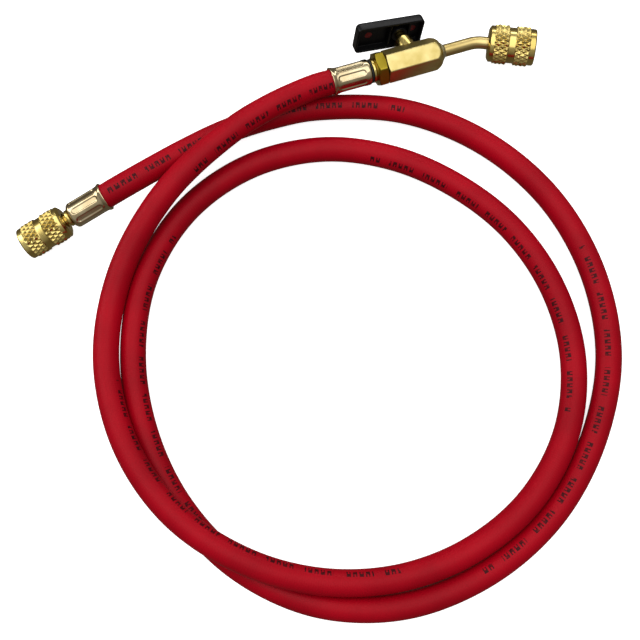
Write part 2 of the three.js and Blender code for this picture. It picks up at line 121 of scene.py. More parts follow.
# %% Camera
SERVICE_EXIT = np.array([-124.9, 77.6])
PHOTO_PIXELS = 640
FOCAL_PIXELS = 1000
SENSOR_WIDTH = 36
CAMERA_TILT = np.radians(13)
CAMERA_DISTANCE = 495 * MM
VIEW_CENTRE = np.array([-19.4, 18.9])

loop_middle = service.origin[:2] - SERVICE_EXIT * MM
view_x, view_y = loop_middle + VIEW_CENTRE * MM
camera_data = bpy.data.cameras.new("photo_camera")
camera_data.sensor_width = SENSOR_WIDTH
camera_data.lens = SENSOR_WIDTH * FOCAL_PIXELS / PHOTO_PIXELS
camera = bpy.data.objects.new("photo_camera", camera_data)
camera.location = (
    view_x,
    view_y - CAMERA_DISTANCE * np.sin(CAMERA_TILT),
    CAMERA_DISTANCE * np.cos(CAMERA_TILT),
)
camera.rotation_euler = (CAMERA_TILT, 0, 0)
bpy.context.collection.objects.link(camera)
bpy.context.scene.camera = camera
print("lens", camera_data.lens, "camera at", [round(x, 3) for x in camera.location])

# %% [markdown]
# The hose's route
#
# A hose keeps its length and bends smoothly, so its middle line is one curve through listed
# points: plan x and y from the loop's middle, and how far it is lifted where it climbs
# over itself. A Bezier curve object could follow them, but a centripetal Catmull-Rom curve goes
# through every point without overshooting, and as arrays it is only a few lines.

# %% Route of the hose
HOSE_OD = 12.5
HOSE_LEAD = 8
EXIT_GAP = 0.3
CURVE_STEPS = 40
HOSE_ROUTE = [
    [-86, 102.5, 8.25],
    [-65, 115.5, 3.5],
    [-43.5, 124, 1],
    [-21, 129, 0.15],
    [23, 127.5, 0],
    [63.5, 110.5, 0],
    [95.5, 81, 0],
    [115, 42.5, 0],
    [120.5, 0, 0],
    [110.5, -41, 0],
    [89, -76.5, 0],
    [57.5, -102.5, 0],
    [19, -117, 0],
    [-21, -116, 0],
    [-57.5, -99.5, 0],
    [-85, -72, 0],
    [-102.5, -38, 0],
    [-110, 0, 0],
    [-105.5, 39, 0],
    [-86, 74, 0],
    [-54.5, 97.5, 0],
    [-17.5, 106.5, 0],
    [18.5, 101.5, 0],
    [50, 86.5, 0],
    [76, 64.5, 0],
    [94.5, 35, 0.1],
    [103, 0, 0.15],
    [98, -36.5, 1.75],
    [79, -69, 4.25],
    [50.5, -92, 4.75],
    [17, -104.5, 4.75],
    [-19.5, -106, 7.75],
    [-54.5, -96.5, 12.75],
    [-87, -75.5, 12.75],
    [-111, -42.5, 8.75],
    [-122, -1, 5.25],
    [-116, 41.5, 6.75],
    [-94.5, 78.5, 14.5],
    [-63.5, 109, 16.75],
    [-44.5, 122.5, 15.75],
]


def catmull_rom(points, steps):
    """Centripetal Catmull-Rom curve. The knots lie the square root of the chord apart, and each
    stretch is the cubic p1 + t·m1 + t²·(3(p2 - p1) - 2m1 - m2) + t³·(2(p1 - p2) + m1 + m2), where
    the slope m is the sum of the two nearest chord slopes less the wide one."""
    ends = (2 * points[:1] - points[1:2], 2 * points[-1:] - points[-2:-1])
    p = np.concatenate([ends[0], points, ends[1]])
    knot = np.sqrt(np.linalg.norm(np.diff(p, axis=0), axis=1))[:, None]
    d0, d1, d2 = knot[:-2], knot[1:-1], knot[2:]
    p0, p1, p2, p3 = p[:-3], p[1:-2], p[2:-1], p[3:]
    m1 = ((p1 - p0) / d0 - (p2 - p0) / (d0 + d1) + (p2 - p1) / d1) * d1
    m2 = ((p2 - p1) / d1 - (p3 - p1) / (d1 + d2) + (p3 - p2) / d2) * d1
    t = np.arange(steps)[None, :, None] / steps
    square = (3 * (p2 - p1) - 2 * m1 - m2)[:, None]
    cube = (2 * (p1 - p2) + m1 + m2)[:, None]
    curve = p1[:, None] + t * m1[:, None] + t**2 * square + t**3 * cube
    return np.concatenate([curve.reshape(-1, 3), points[-1:]])


def spaced(line, step):
    """Points on a line at even distances of about step."""
    length = np.concatenate([[0], np.cumsum(np.linalg.norm(np.diff(line, axis=0), axis=1))])
    along = np.linspace(0, length[-1], round(length[-1] / step) + 1)
    return np.stack([np.interp(along, length, line[:, k]) for k in range(3)], 1), along


def lead(axes):
    """The straight stretch out of a ferrule: its exit, and a point HOSE_LEAD further back."""
    return axes.place([[-EXIT_GAP, 0, 0], [-EXIT_GAP - HOSE_LEAD, 0, 0]])


hose_radius = HOSE_OD / 2 * MM
plan = np.array(HOSE_ROUTE) * MM + [*loop_middle, hose_radius]
route = np.concatenate([lead(service), plan, lead(valve)[::-1]])
free_line = catmull_rom(route, CURVE_STEPS)

# %% [markdown]
# Grids into meshes
#
# Every new surface here is a grid: rows along the piece, columns around it, and one array formula
# for all the points. The helper turns grids into a closed mesh. The columns always join up, the
# rows join up where the outline is a closed ring, and rows that shrink to the axis are merged
# into a pole. Each grid also gets a UV map, so that a pattern can follow the surface: U is the
# distance along the outline in metres, and V runs once around.

# %% Grid helper
WELD = 1e-7
SHARP_ANGLE = np.radians(38)


def grid_faces(rows, columns, ring):
    """Corner numbers of every quad between neighbouring rows and columns."""
    row = np.arange(rows if ring else rows - 1)[:, None]
    column = np.arange(columns)[None, :]
    below, right = (row + 1) % rows, (column + 1) % columns
    corners = (
        row * columns + column,
        row * columns + right,
        below * columns + right,
        below * columns + column,
    )
    return np.stack(np.broadcast_arrays(*corners), -1).reshape(-1, 4)


def grid_uv(points, ring):
    """U is the mean distance along the rows and V the share of the turn, at each quad's corners."""
    rows, columns = points.shape[:2]
    looped = np.concatenate([points, points[:1]]) if ring else points
    steps = np.linalg.norm(np.diff(looped, axis=0), axis=2).mean(1)
    along = np.concatenate([[0], np.cumsum(steps)])
    u = np.stack([along[:-1], along[:-1], along[1:], along[1:]], -1)[:, None, :]
    turn = np.arange(columns)[:, None] / columns
    v = np.concatenate([turn, turn + 1 / columns, turn + 1 / columns, turn], 1)[None]
    u, v = np.broadcast_arrays(u, v)
    return np.stack([u, v], -1).reshape(-1, 2)


def mesh_of(name, grids):
    """One mesh from several (points, ring) grids, each of points in (rows, columns, 3) metres."""
    vertices, faces, uvs, count = [], [], [], 0
    for points, ring in grids:
        rows, columns = points.shape[:2]
        vertices.append(points.reshape(-1, 3))
        faces.append(grid_faces(rows, columns, ring) + count)
        uvs.append(grid_uv(points, ring))
        count += rows * columns
    mesh = bpy.data.meshes.new(name)
    mesh.from_pydata(np.concatenate(vertices), [], np.concatenate(faces))
    layer = mesh.uv_layers.new(name="surface")
    layer.data.foreach_set("uv", np.concatenate(uvs).astype(np.float32).ravel())
    edit = bmesh.new()
    edit.from_mesh(mesh)
    bmesh.ops.remove_doubles(edit, verts=edit.verts, dist=WELD)
    bmesh.ops.recalc_face_normals(edit, faces=edit.faces)
    edit.to_mesh(mesh)
    edit.free()
    mesh.shade_smooth()
    mesh.set_sharp_from_angle(angle=SHARP_ANGLE)
    return mesh


def add_piece(name, grids, material, body, nodes=()):
    """Makes the object, gives it its finish, and lets it ride and stand for its solids."""
    piece = bpy.data.objects.new(name, mesh_of(name, grids))
    piece.data.materials.append(material)
    bpy.context.collection.objects.link(piece)
    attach(piece, body)
    if nodes:
        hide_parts(*nodes)
    triangles = sum(len(face.vertices) - 2 for face in piece.data.polygons)
    print(name, triangles, "triangles on", body)
    return piece


print("grid helper ready, merging points closer than", WELD, "m")

# %% [markdown]
# Nodes and colours
#
# A finish starts from what the real material is, and its colours are written as they would be
# picked on a screen, in sRGB hex. The shader works in linear light, so one function turns them.
# One small function adds a node with its settings and links, because that reads like a recipe.
# Some nodes have several inputs of one name, so those go by number: 0 is what the node reads, a
# Map Range maps the range from 1 to 2 onto that from 3 to 4, and a Mix goes from colour 6 to 7.

# %% Node helper
def linear(hex_colour):
    """sRGB hex to linear: c / 12.92 up to 0.04045, and ((c + 0.055) / 1.055) ** 2.4 above it."""
    srgb = np.array([int(hex_colour[k : k + 2], 16) for k in (1, 3, 5)]) / 255
    bright = ((srgb + 0.055) / 1.055) ** 2.4
    return (*np.where(srgb <= 0.04045, srgb / 12.92, bright).tolist(), 1.0)


def add(tree, kind, inputs=None, **settings):
    """Adds a node. An input is a value, or another node's output, which is then linked."""
    node = tree.nodes.new("ShaderNode" + kind)
    for name, value in settings.items():
        setattr(node, name, value)
    for name, value in (inputs or {}).items():
        if isinstance(value, bpy.types.NodeSocket):
            tree.links.new(value, node.inputs[name])
        else:
            node.inputs[name].default_value = value
    return node


def finish(name, build):
    """A new material whose Principled shader gets what build(tree) returns as its inputs."""
    material = bpy.data.materials.new(name)
    material.use_nodes = True
    tree = material.node_tree
    tree.nodes.clear()
    shader = add(tree, "BsdfPrincipled", build(tree))
    add(tree, "OutputMaterial", {"Surface": shader.outputs[0]})
    print("finish", name, "with", len(tree.nodes), "nodes")
    return material


print("mid grey #808080 is", round(linear("#808080")[0], 3), "in linear light")

# %% [markdown]
# Printed marks
#
# A line of plain marks in groups is printed along the hose in black. Each of them is a small
# block with a notch in its top or its foot. In the hose's UV map U is the
# distance along it and V the turn from the printed line, so a mark is where V is near its middle
# and a repeating ramp along U is below a limit. An image could hold them, but sums of U and V stay
# sharp at any size and need no file.

# %% Marks from the UV map
PRINT_LINE = 0.5
MARK_PITCH = 3.05 * MM
MARK_SHARE = 0.66
MARK_HEIGHT = 2.8
NOTCH_SHARE = 0.26
NOTCH_SHIFT = -0.2
NOTCH_HEIGHT = 1.5
NOTCH_RISE = 0.9
WORD_PITCH = 18.9 * MM
WORD_SHARE = 0.74
WORD_SHIFT = 0.35
GROUP_PITCH = 300.5 * MM
GROUP_SHARE = 0.61
GROUP_SHIFT = 0.039


def pulse(tree, along, pitch, share, shift=0.0):
    """1 for the first share of every pitch, else 0: fraction(U / pitch + shift) < share."""
    scaled = add(tree, "Math", {0: along, 1: 1 / pitch, 2: shift}, operation="MULTIPLY_ADD")
    ramp = add(tree, "Math", {0: scaled.outputs[0]}, operation="FRACT")
    step = add(tree, "Math", {0: ramp.outputs[0], 1: share}, operation="LESS_THAN")
    return step.outputs[0]


def stripe(tree, turn, middle, height):
    """1 within half the height, in millimetres, of a line round the hose: |V - middle| < share."""
    from_line = add(tree, "Math", {0: turn, 1: middle}, operation="SUBTRACT")
    distance = add(tree, "Math", {0: from_line.outputs[0]}, operation="ABSOLUTE")
    half_share = height / 2 / (np.pi * HOSE_OD)
    near = add(tree, "Math", {0: distance.outputs[0], 1: half_share}, operation="LESS_THAN")
    return near.outputs[0]


def printed_marks(tree, along, turn):
    """Blocks less their notches, where they also lie in a word and in a group."""
    line = stripe(tree, turn, PRINT_LINE, MARK_HEIGHT)
    in_block = pulse(tree, along, MARK_PITCH, MARK_SHARE)
    blocks = add(tree, "Math", {0: line, 1: in_block}, operation="MULTIPLY")
    rise = NOTCH_RISE / (np.pi * HOSE_OD)
    at_foot = pulse(tree, along, 2 * MARK_PITCH, 0.5)
    middle = add(tree, "Math", {0: at_foot, 1: 2 * rise, 2: PRINT_LINE - rise}, operation="MULTIPLY_ADD")
    notch_line = stripe(tree, turn, middle.outputs[0], NOTCH_HEIGHT)
    in_notch = pulse(tree, along, MARK_PITCH, NOTCH_SHARE, NOTCH_SHIFT)
    notches = add(tree, "Math", {0: notch_line, 1: in_notch}, operation="MULTIPLY")
    less = {0: blocks.outputs[0], 1: notches.outputs[0]}
    marks = add(tree, "Math", less, operation="SUBTRACT", use_clamp=True)
    words = pulse(tree, along, WORD_PITCH, WORD_SHARE, WORD_SHIFT)
    groups = pulse(tree, along, GROUP_PITCH, GROUP_SHARE, GROUP_SHIFT)
    for mask in (words, groups):
        marks = add(tree, "Math", {0: marks.outputs[0], 1: mask}, operation="MULTIPLY")
    return marks.outputs[0]


print("marks every", round(MARK_PITCH / MM, 2), "mm, words every", round(WORD_PITCH / MM, 1), "mm")

# %% [markdown]
# Red hose cover
#
# The cover is extruded synthetic rubber: a deep crimson with a satin skin, faint rings across it
# from the die and the cloth it was cured in, and a slightly uneven tone. The rings are a sine
# along U, drawn 1.1 mm apart, and the grain of the skin is a noise of 0.7 mm. Both are coarser
# than the real ones, because finer ones don't show at this size.

# %% Hose cover finish
IOR_RUBBER = 1.52
RUBBER_MAIN = "#A80017"
RUBBER_DARK = "#940013"
PRINT_BLACK = "#26060B"
TONE_SCALE = 30.0
WEAR_SCALE = 900.0
SKIN_SCALE = 1400.0
SKIN_RELIEF = 0.06 * MM
RING_PITCH = 1.1 * MM
RING_SHARE = 0.35


def hose_cover(tree):
    """Crimson rubber with faint rings, an uneven tone and a printed line of marks."""
    uv = add(tree, "UVMap", uv_map="surface").outputs[0]
    parts = add(tree, "SeparateXYZ", {0: uv})
    along, turn = parts.outputs[0], parts.outputs[1]
    place = add(tree, "TexCoord").outputs["Object"]
    tone = add(tree, "TexNoise", {"Vector": place, "Scale": TONE_SCALE, "Detail": 3.0})
    shade = add(tree, "MapRange", {0: tone.outputs[0], 1: 0.35, 2: 0.65})
    tones = {0: shade.outputs[0], 6: linear(RUBBER_DARK), 7: linear(RUBBER_MAIN)}
    rubber = add(tree, "Mix", tones, data_type="RGBA")
    worn = add(tree, "TexNoise", {"Vector": place, "Scale": WEAR_SCALE, "Detail": 2.0})
    ink = add(tree, "MapRange", {0: worn.outputs[0], 1: 0.3, 2: 0.5, 3: 0.55, 4: 0.92})
    marks = printed_marks(tree, along, turn)
    inked = add(tree, "Math", {0: marks, 1: ink.outputs[0]}, operation="MULTIPLY")
    print_over = {0: inked.outputs[0], 6: rubber.outputs[2], 7: linear(PRINT_BLACK)}
    colour = add(tree, "Mix", print_over, data_type="RGBA")
    grain = add(tree, "TexNoise", {"Vector": place, "Scale": SKIN_SCALE, "Detail": 2.0})
    phase = add(tree, "Math", {0: along, 1: 2 * np.pi / RING_PITCH}, operation="MULTIPLY")
    rings = add(tree, "Math", {0: phase.outputs[0]}, operation="SINE")
    heights = {0: rings.outputs[0], 1: RING_SHARE, 2: grain.outputs[0]}
    relief = add(tree, "Math", heights, operation="MULTIPLY_ADD")
    bump = add(tree, "Bump", {"Height": relief.outputs[0], "Distance": SKIN_RELIEF, "Strength": 0.6})
    rough = add(tree, "MapRange", {0: grain.outputs[0], 3: 0.38, 4: 0.56})
    return {
        "Base Color": colour.outputs[2],
        "Roughness": rough.outputs[0],
        "Normal": bump.outputs[0],
        "IOR": IOR_RUBBER,
        "Specular IOR Level": 0.1,
        "Sheen Weight": 0.01,
        "Sheen Roughness": 0.4,
        "Sheen Tint": linear("#E56A9A"),
    }


nitrile_cover = finish("extruded_red_nitrile", hose_cover)

# %% [markdown]
# The hose
#
# A tube is a circle carried along the route. Its cross-section is set by two vectors: one towards
# the loop's inside, which is the direction of travel crossed with straight up, and one across
# both, which is the tube's own top. The printed line winds slowly from the top towards the inside,
# as the real hose is twisted a little when it is coiled, so the UV's seam is turned with it.
# The ends run on into the ferrules and close on the middle line.

# %% Hose piece
HOSE_STEP = 1.3 * MM
HOSE_COLUMNS = 40
INSIDE_FERRULE = 2.2
PRINT_TURN_AT = [0, 0.12, 0.3, 0.45, 0.6, 0.72, 0.8, 0.9, 1]
PRINT_TURN = [10, 18, 18, 50, 50, 18, 55, 65, 40]


def tube(line, radius, columns, start_turn):
    """Circle of the given radius around each point of the line: point + r·(cos a·top + sin a·side),
    with the turn a counted from start_turn. Both ends close on the line."""
    tangent = np.gradient(line, axis=0)
    tangent /= np.linalg.norm(tangent, axis=1)[:, None]
    side = np.cross(tangent, [0, 0, 1])
    side /= np.linalg.norm(side, axis=1)[:, None]
    top = np.cross(side, tangent)
    a = start_turn[:, None] + np.linspace(0, 2 * np.pi, columns, endpoint=False)[None, :]
    ring = np.cos(a)[..., None] * top[:, None] + np.sin(a)[..., None] * side[:, None]
    poles = np.repeat(line[[0, -1], None], columns, 1)
    return np.concatenate([poles[:1], line[:, None] + radius * ring, poles[1:]])


def ferrule_line(axes):
    """The hose's last stretch inside a ferrule, from its exit inwards."""
    return axes.place([[-EXIT_GAP / 2, 0, 0], [INSIDE_FERRULE, 0, 0]])


whole_line = np.concatenate([ferrule_line(service)[::-1], free_line, ferrule_line(valve)])
hose_line, hose_along = spaced(whole_line, HOSE_STEP)
share = hose_along / hose_along[-1]
print_turn = np.radians(np.interp(share, PRINT_TURN_AT, PRINT_TURN))
hose_points = tube(hose_line, hose_radius, HOSE_COLUMNS, print_turn - np.pi)
hose = add_piece("hose_cover", [(hose_points, False)], nitrile_cover, "root", ["hose"])
tuple(service.place([-EXIT_GAP, 0, 0]))
print("hose is", round(float(hose_along[-1]), 4), "m with its ends")

# %% [markdown]
# Turned brass
#
# The nuts are turned from free-cutting brass bar: a warm yellow metal, bright where a tool has
# just cut it, with fine rings left by the lathe. A bump along U gives those rings, because U runs
# along the outline and is the same all the way round. They are 0.16 mm apart. A slow noise varies
# the tone over patches of a centimetre or so, since brass tarnishes where it was handled. Cavities
# get painted shade: the mesh's own pointiness, which is under a half where it is hollow, darkens
# them towards a dark olive.

# %% Brass finishes
LATHE_PITCH = 0.16 * MM
LATHE_RELIEF = 0.02 * MM
# Colour of the painted shade in the hollows.
HOLLOW_SHADE = "#4A3A12"


def brass_finish(light, dark, roughness, patches=90.0, rings=0.5):
    """A build function for brass of two tones, with so many patches to the metre and lathe rings of
    the given strength."""

    def build(tree):
        place = add(tree, "TexCoord").outputs["Object"]
        uv = add(tree, "UVMap", uv_map="surface").outputs[0]
        film = add(tree, "TexNoise", {"Vector": place, "Scale": patches, "Detail": 5.0})
        spots = add(tree, "MapRange", {0: film.outputs[0], 1: 0.35, 2: 0.7})
        along = add(tree, "Mapping", {"Vector": uv, "Scale": (1 / LATHE_PITCH, 0.6, 1)})
        cuts = add(tree, "TexNoise", {"Vector": along.outputs[0], "Scale": 1.0, "Detail": 2.0})
        bump = add(tree, "Bump", {"Height": cuts.outputs[0], "Distance": LATHE_RELIEF, "Strength": rings})
        rough = add(tree, "MapRange", {0: film.outputs[0], 3: roughness - 0.06, 4: roughness + 0.12})
        tones = {0: spots.outputs[0], 6: linear(light), 7: linear(dark)}
        clean = add(tree, "Mix", tones, data_type="RGBA")
        # Painted shade: where the pointiness is low, in hollows, the colour is darkened towards the hollow tone.
        point = add(tree, "NewGeometry").outputs["Pointiness"]
        hollow_shade = add(tree, "MapRange", {0: point, 1: 0.49, 2: 0.4, 3: 0.0, 4: 0.9})
        shade_in_hollows = {0: hollow_shade.outputs[0], 6: clean.outputs[2], 7: linear(HOLLOW_SHADE)}
        return {
            "Base Color": add(tree, "Mix", shade_in_hollows, data_type="RGBA").outputs[2],
            "Metallic": 1.0,
            "Roughness": rough.outputs[0],
            "Normal": bump.outputs[0],
        }

    return build


turned_brass = finish("turned_free_cutting_brass", brass_finish("#DBC57A", "#C0A65A", 0.15))
bar_brass = finish("hexagon_bar_brass", brass_finish("#D2C183", "#BEA961", 0.32, 140.0, 0.25))
olive_brass = finish("tarnished_bar_brass", brass_finish("#A39030", "#857118", 0.26, 60.0, 0.3))
tube_brass = finish("drawn_tube_brass", brass_finish("#D2BC7E", "#BBA262", 0.3, 50.0, 0.1))

# %% [markdown]
# Turned shapes
#
# A lathe makes a surface of revolution: an outline of (x, r) corners is carried round the X axis.
# Sharp corners catch no light, so each is rounded by a small curve. Where a surface isn't round,
# as on a knurl or a hexagon, the same grid is used and a function changes r at each (x, turn).
# All the sizes from here on are in millimetres, along and away from a fitting's own axis.

# %% Lathe helper
CORNER_POINTS = 4
LONGEST_CUT = 0.45


def rounded(outline, cut, closed=True):
    """Each corner P is replaced by the curve (1 - t)²·A + 2t(1 - t)·P + t²·C, where A and C lie
    cut before and after it, or just under half a side where that is shorter."""
    corner = np.array(outline, float)
    to_last = np.roll(corner, 1, 0) - corner
    to_next = np.roll(corner, -1, 0) - corner
    last_length = np.linalg.norm(to_last, axis=1)[:, None]
    next_length = np.linalg.norm(to_next, axis=1)[:, None]
    reach = np.minimum(cut, np.minimum(last_length, next_length) * LONGEST_CUT)
    start = (corner + to_last / last_length * reach)[:, None]
    end = (corner + to_next / next_length * reach)[:, None]
    t = np.linspace(0, 1, CORNER_POINTS)[None, :, None]
    curve = (1 - t) ** 2 * start + 2 * t * (1 - t) * corner[:, None] + t**2 * end
    if closed:
        return curve.reshape(-1, 2)
    return np.concatenate([corner[:1], curve[1:-1].reshape(-1, 2), corner[-1:]])


def refined(outline, step, low, high):
    """Adds points at most step apart to a closed outline, where x lies between low and high."""
    points = np.concatenate([outline, outline[:1]])
    size = np.linalg.norm(np.diff(points, axis=0), axis=1)
    middle = (points[:-1, 0] + points[1:, 0]) / 2
    fine = (middle > low) & (middle < high)
    count = np.where(fine, np.ceil(size / step), 1).astype(int)
    first = np.repeat(np.arange(len(count)), count)
    within = np.arange(len(first)) - np.repeat(np.cumsum(count) - count, count)
    t = (within / np.repeat(count, count))[:, None]
    return points[first] * (1 - t) + points[first + 1] * t


def turned(axes, outline, columns, shape=None):
    """(x, turn) to (x, -r·sin turn, r·cos turn), with r from the outline or from
    shape(x, turn, r)."""
    x, r = outline[:, :1], outline[:, 1:]
    turn = np.linspace(0, 2 * np.pi, columns, endpoint=False)[None, :]
    radius = r + 0 * turn if shape is None else shape(x, turn, r)
    points = np.stack([x + 0 * turn, -radius * np.sin(turn), radius * np.cos(turn)], -1)
    return axes.place(points)


print("a square rounds to", len(rounded([[0, 1], [1, 1], [1, 2], [0, 2]], 0.1)), "points")

# %% [markdown]
# Swivel nuts
#
# Each nut has two bands of diamond knurl for the fingers, a groove between them and a plain rim at
# each end. A knurling wheel presses two sets of slanting grooves, which leave small pyramids. The
# height is therefore the lower of two triangle waves, one for each slant, cut off flat at the
# top. It could be a displacement map, but real relief glitters as the photograph does. The bore
# has its thread: a ridge that moves one pitch along for each turn.

# %% Knurl and thread
COLUMNS_A_START = 12
KNURL_PITCH = 4.3
KNURL_DEPTH = 0.8
KNURL_TOP = 0.92
THREAD_PITCH = 1.27
THREAD_DEPTH = 0.62


def triangle(t):
    """Triangle wave of period 1: 0 at whole numbers and 1 halfway between them."""
    return 1 - np.abs(2 * (t % 1) - 1)


def knurl(x, turn, starts):
    """Share of the full height: the lower of the waves starts·turn ± x / pitch, cut off at the top.
    The pitch along X makes the grooves slant by about 30 degrees."""
    around = starts * turn / (2 * np.pi)
    along = x / KNURL_PITCH
    wave = np.minimum(triangle(around + along), triangle(around - along))
    return np.minimum(wave / KNURL_TOP, 1)


print("knurl grooves cross every", KNURL_PITCH, "mm along the nut")

# %% [markdown]
# The nut's outline is one closed ring: from the rear wall outside to the mouth, and back through
# the bore. The outer skin takes the knurl between its rims, and the bore takes the thread, which
# fades out at the mouth. The two nuts differ only in their sizes, so one function makes both.

# %% Swivel nut pieces
NUT_REAR_WALL = 6
NUT_HOLE = 3.8
NUT_EDGE = 0.22
SHOULDER_LENGTH = 1.1
SHOULDER_DROP = 1.6
BAND_STEP = 0.3
GROOVE_DROP = 0.2
MOUTH_BEVEL = 0.5
BORE_BEVEL = 1
THREAD_START = 1
THREAD_STOP = 0.6
THREAD_FADE = 1.2
FINE_STEP = 0.2
SERVICE_NUT = {
    "rim_length": 2.8,
    "knurl_length": 7.2,
    "groove_length": 3.4,
    "knurl_od": 17.4,
    "rim_od": 16.4,
    "bore": 10,
    "starts": 23,
}
OUTLET_NUT = {
    "rim_length": 3,
    "knurl_length": 7.3,
    "groove_length": 3.4,
    "knurl_od": 19.8,
    "rim_od": 18.2,
    "bore": 11.4,
    "starts": 25,
}


def nut_grid(axes, rim_length, knurl_length, groove_length, knurl_od, rim_od, bore, starts):
    """Closed outline of a swivel nut, with the knurl outside and the thread inside."""
    rim, top, inner = rim_od / 2, knurl_od / 2, bore / 2
    first, second = rim_length, rim_length + knurl_length
    third, fourth = second + groove_length, second + groove_length + knurl_length
    nut_length = fourth + rim_length
    outline = [
        [0, NUT_HOLE],
        [0, rim - SHOULDER_DROP],
        [SHOULDER_LENGTH, rim],
        [first, rim],
        [first + BAND_STEP, top],
        [second - BAND_STEP, top],
        [second, rim - GROOVE_DROP],
        [third, rim - GROOVE_DROP],
        [third + BAND_STEP, top],
        [fourth - BAND_STEP, top],
        [fourth, rim],
        [nut_length - MOUTH_BEVEL, rim],
        [nut_length, rim - MOUTH_BEVEL],
        [nut_length, inner + BORE_BEVEL],
        [nut_length - BORE_BEVEL, inner],
        [NUT_REAR_WALL, inner],
        [NUT_REAR_WALL, NUT_HOLE],
    ]
    outline = refined(rounded(outline, NUT_EDGE), FINE_STEP, first, nut_length)

    def shape(x, turn, r):
        """The outer skin loses what the knurl cuts, and the bore loses what the thread cuts."""
        outside = r > rim - 0.6
        band = np.clip((r - rim) / (top - rim), 0, 1) * outside
        cut = KNURL_DEPTH * (1 - knurl(x - first, turn, starts)) * band
        in_bore = (r > inner - 0.3) & (r < inner + BORE_BEVEL) & ~outside
        threaded = in_bore & (x > NUT_REAR_WALL + THREAD_START)
        fade = np.clip((nut_length - THREAD_STOP - x) / THREAD_FADE, 0, 1)
        thread = triangle(x / THREAD_PITCH - turn / (2 * np.pi)) * THREAD_DEPTH * fade
        return r - cut + thread * threaded

    return turned(axes, outline, COLUMNS_A_START * starts, shape)


service_nut_axes = service.moved(FERRULE_LENGTH + NECK_TO_NUT)
outlet_nut_axes = outlet.moved(BEND_TO_NUT)
for axes, end, nut in ((service_nut_axes, "service", SERVICE_NUT), (outlet_nut_axes, "outlet", OUTLET_NUT)):
    add_piece(
        end + "_swivel_nut",
        [(nut_grid(axes, **nut), True)],
        turned_brass,
        end + "_nut_body",
        [end + "_nut"],
    )

# %% [markdown]
# Crimped ferrules
#
# A ferrule is a plated steel cup that a press squeezes on to the hose with eight jaws. The jaws
# leave eight long flats with rounded ends and narrow ridges between them, and a flared bell where
# the hose goes in. The service ferrule has a round shoulder at its other end, and the valve's a
# small round edge. A flat at the depth d is a straight chord: r = (R - d) / cos of the turn from
# the flat's middle. It fills a long slot with round ends, which is every place within half its
# width of the line along its middle. The lists of steps give x, and the rise from a radius.

# %% Ferrule shape
FERRULE_OD = 13.1
BELL_OD = 14.6
BELL_STEPS = ((0, -0.1), (0.3, 0), (1.0, -0.2))
CUP_STEPS = ((2.0, 0.12), (3.4, 0))
CUP_FLOOR = 2
CUP_BORE_RADIUS = 5.1
SLEEVE_HOLE = 3.5
LIP_START = 2.6
LIP_END = 3
HOSE_CLEARANCE = 0.15
FERRULE_EDGE = 0.35
FERRULE_COLUMNS = 240
CRIMPS = 8
CRIMP_TURN = np.radians(8)
CRIMP_DEPTH = 0.5
CRIMP_START = 4.4
CRIMP_END = 15.8
CRIMP_HALF_WIDTH = 1.0
CRIMP_EDGE = 0.8


def smooth(t):
    """3t² - 2t³ between 0 and 1, and flat outside."""
    t = np.clip(t, 0, 1)
    return t * t * (3 - 2 * t)


def ferrule_grid(axes, front):
    """Closed outline of the cup, with the eight flats pressed into it. The front is a list of steps
    from the fitting's end and from the cup's radius."""
    body, bell = FERRULE_OD / 2, BELL_OD / 2
    outline = [
        [0, HOSE_OD / 2 + HOSE_CLEARANCE],
        *([step, bell + rise] for step, rise in BELL_STEPS),
        *([step, body + rise] for step, rise in CUP_STEPS),
        *([FERRULE_LENGTH + step, body + rise] for step, rise in front),
        [FERRULE_LENGTH, SLEEVE_HOLE],
        [FERRULE_LENGTH - CUP_FLOOR, SLEEVE_HOLE],
        [FERRULE_LENGTH - CUP_FLOOR, CUP_BORE_RADIUS],
        [LIP_END, CUP_BORE_RADIUS],
        [LIP_START, HOSE_OD / 2 + HOSE_CLEARANCE],
    ]
    low, high = CRIMP_START - CRIMP_HALF_WIDTH, CRIMP_END + CRIMP_HALF_WIDTH
    outline = refined(rounded(outline, FERRULE_EDGE), FINE_STEP, low - 1, high + 1)

    def shape(x, turn, r):
        """Chords replace the round skin inside the slots that the jaws press."""
        sector = 2 * np.pi / CRIMPS
        from_flat = (turn + CRIMP_TURN + sector / 2) % sector - sector / 2
        past_end = np.maximum(np.maximum(CRIMP_START - x, x - CRIMP_END), 0)
        away = np.hypot(past_end, body * from_flat)
        pressed = smooth((CRIMP_HALF_WIDTH + CRIMP_EDGE - away) / CRIMP_EDGE) * (r > body - 0.3)
        chord = np.minimum((body - CRIMP_DEPTH) / np.cos(from_flat), r)
        return r + (chord - r) * pressed

    return turned(axes, outline, FERRULE_COLUMNS, shape)


print(CRIMPS, "flats of", round(CRIMP_END - CRIMP_START + 2 * CRIMP_HALF_WIDTH, 1), "mm each")

# %% [markdown]
# The plating is zinc with a yellow passivation over smooth drawn steel, so it mirrors almost
# sharply and its colour is a pale champagne. Sliding through the press leaves scratches along the
# sleeve, so a noise is stretched along U: each is some 17 mm long and 0.4 mm wide.

# %% Ferrule pieces
CLOUD_SCALE = 120.0
SCRATCHES_A_METRE = 60
SCRATCHES_A_TURN = 110
SCRATCH_RELIEF = 0.01 * MM
SERVICE_FRONT = ((-2.0, 0), (-1.1, -0.35), (-0.5, -1.2), (0, -1.9))
VALVE_FRONT = ((-1.0, 0), (-0.3, -0.15), (0, -0.6))


